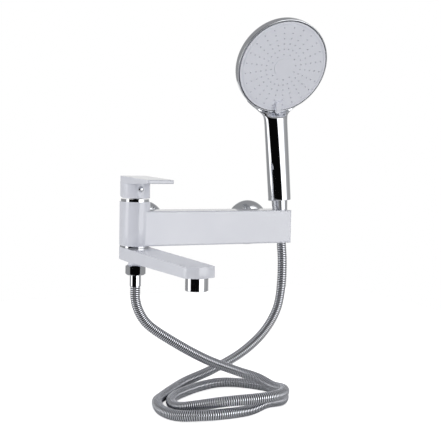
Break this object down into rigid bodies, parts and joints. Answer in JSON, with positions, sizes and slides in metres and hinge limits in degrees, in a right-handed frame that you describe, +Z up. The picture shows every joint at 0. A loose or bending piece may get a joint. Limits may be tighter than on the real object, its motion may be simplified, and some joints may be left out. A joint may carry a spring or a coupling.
{
  "type": "bath shower mixer",
  "caption": "Wall bath mixer with a white square body, top lever, swinging flat spout, ribbed steel hose and a round hand shower parked in the end of its bar.",
  "frame": {"origin": "on the wall face, midway between the two wall sockets", "axes": "+X along the bar towards the hand shower, +Y into the wall, +Z up"},
  "size_m": [0.2835, 0.308, 0.5051],
  "materials": {
    "white_enamel": "gloss",
    "chrome": "polished",
    "steel_hose": "polished ribs",
    "chromed_plastic": "chrome plated",
    "face_plastic": "satin",
    "inner_plastic": "moulded",
    "brass": "machined",
    "ceramic": "lapped",
    "black_rubber": "matt",
    "nozzle_rubber": "matt"
  },
  "bodies": {
    "body": {"body_casting": "white_enamel", "left_union": "chrome", "right_union": "chrome", "left_escutcheon": "chrome", "right_escutcheon": "chrome", "left_inlet_nut": "chrome", "right_inlet_nut": "chrome", "left_inlet_washer": "black_rubber", "right_inlet_washer": "black_rubber", "cartridge_seal": "black_rubber", "cartridge_housing": "inner_plastic", "fixed_disc": "ceramic", "ring_nut": "brass", "trim_ring": "chrome", "spout_collar": "chrome", "outlet_stem": "white_enamel", "stem_o_rings": "black_rubber", "hose_nut": "chrome", "lower_washer": "black_rubber", "lower_ferrule": "chrome", "shower_hose": "steel_hose"},
    "lever_turner": {"moving_disc": "ceramic", "disc_carrier": "inner_plastic", "stem_pin": "chrome"},
    "lever": {"lever_stem": "brass", "lever_handle": "white_enamel", "grub_screw": "brass", "indicator_plug": "chrome"},
    "spout": {"spout": "white_enamel", "aerator_gasket": "black_rubber", "aerator_insert": "inner_plastic", "aerator_shell": "chrome"},
    "hand_shower": {"upper_ferrule": "chrome", "upper_washer": "black_rubber", "cone_nut": "chromed_plastic", "shower_tail": "brass", "shower_shell": "chromed_plastic"},
    "spray_face": {"face_plate": "face_plastic", "centre_cap": "face_plastic", "nozzles": "nozzle_rubber"}
  },
  "joints": [
    {"name": "lever_turn", "type": "hinge", "parent": "body", "child": "lever_turner", "pos_m": [-0.117, -0.072, 0.0241], "axis": [0, 0, 1], "range_deg": [-45, 45]},
    {"name": "lever_lift", "type": "hinge", "parent": "lever_turner", "child": "lever", "pos_m": [-0.117, -0.072, 0.0241], "axis": [-1, 0, 0], "range_deg": [0, 12]},
    {"name": "spout_swivel", "type": "hinge", "parent": "body", "child": "spout", "pos_m": [-0.117, -0.072, -0.033], "axis": [0, 0, 1], "range_deg": [-60, 60]},
    {"name": "hand_shower_lift", "type": "slide", "parent": "body", "child": "hand_shower", "axis": [-0.0785, 0, 0.9969], "range_m": [0, 0.07], "deforming": ["shower_hose"]},
    {"name": "spray_select", "type": "hinge", "parent": "hand_shower", "child": "spray_face", "pos_m": [0.08143, -0.10342, 0.22014], "axis": [-0.0281, -0.8966, -0.4419], "range_deg": [-25, 25]}
  ]
}
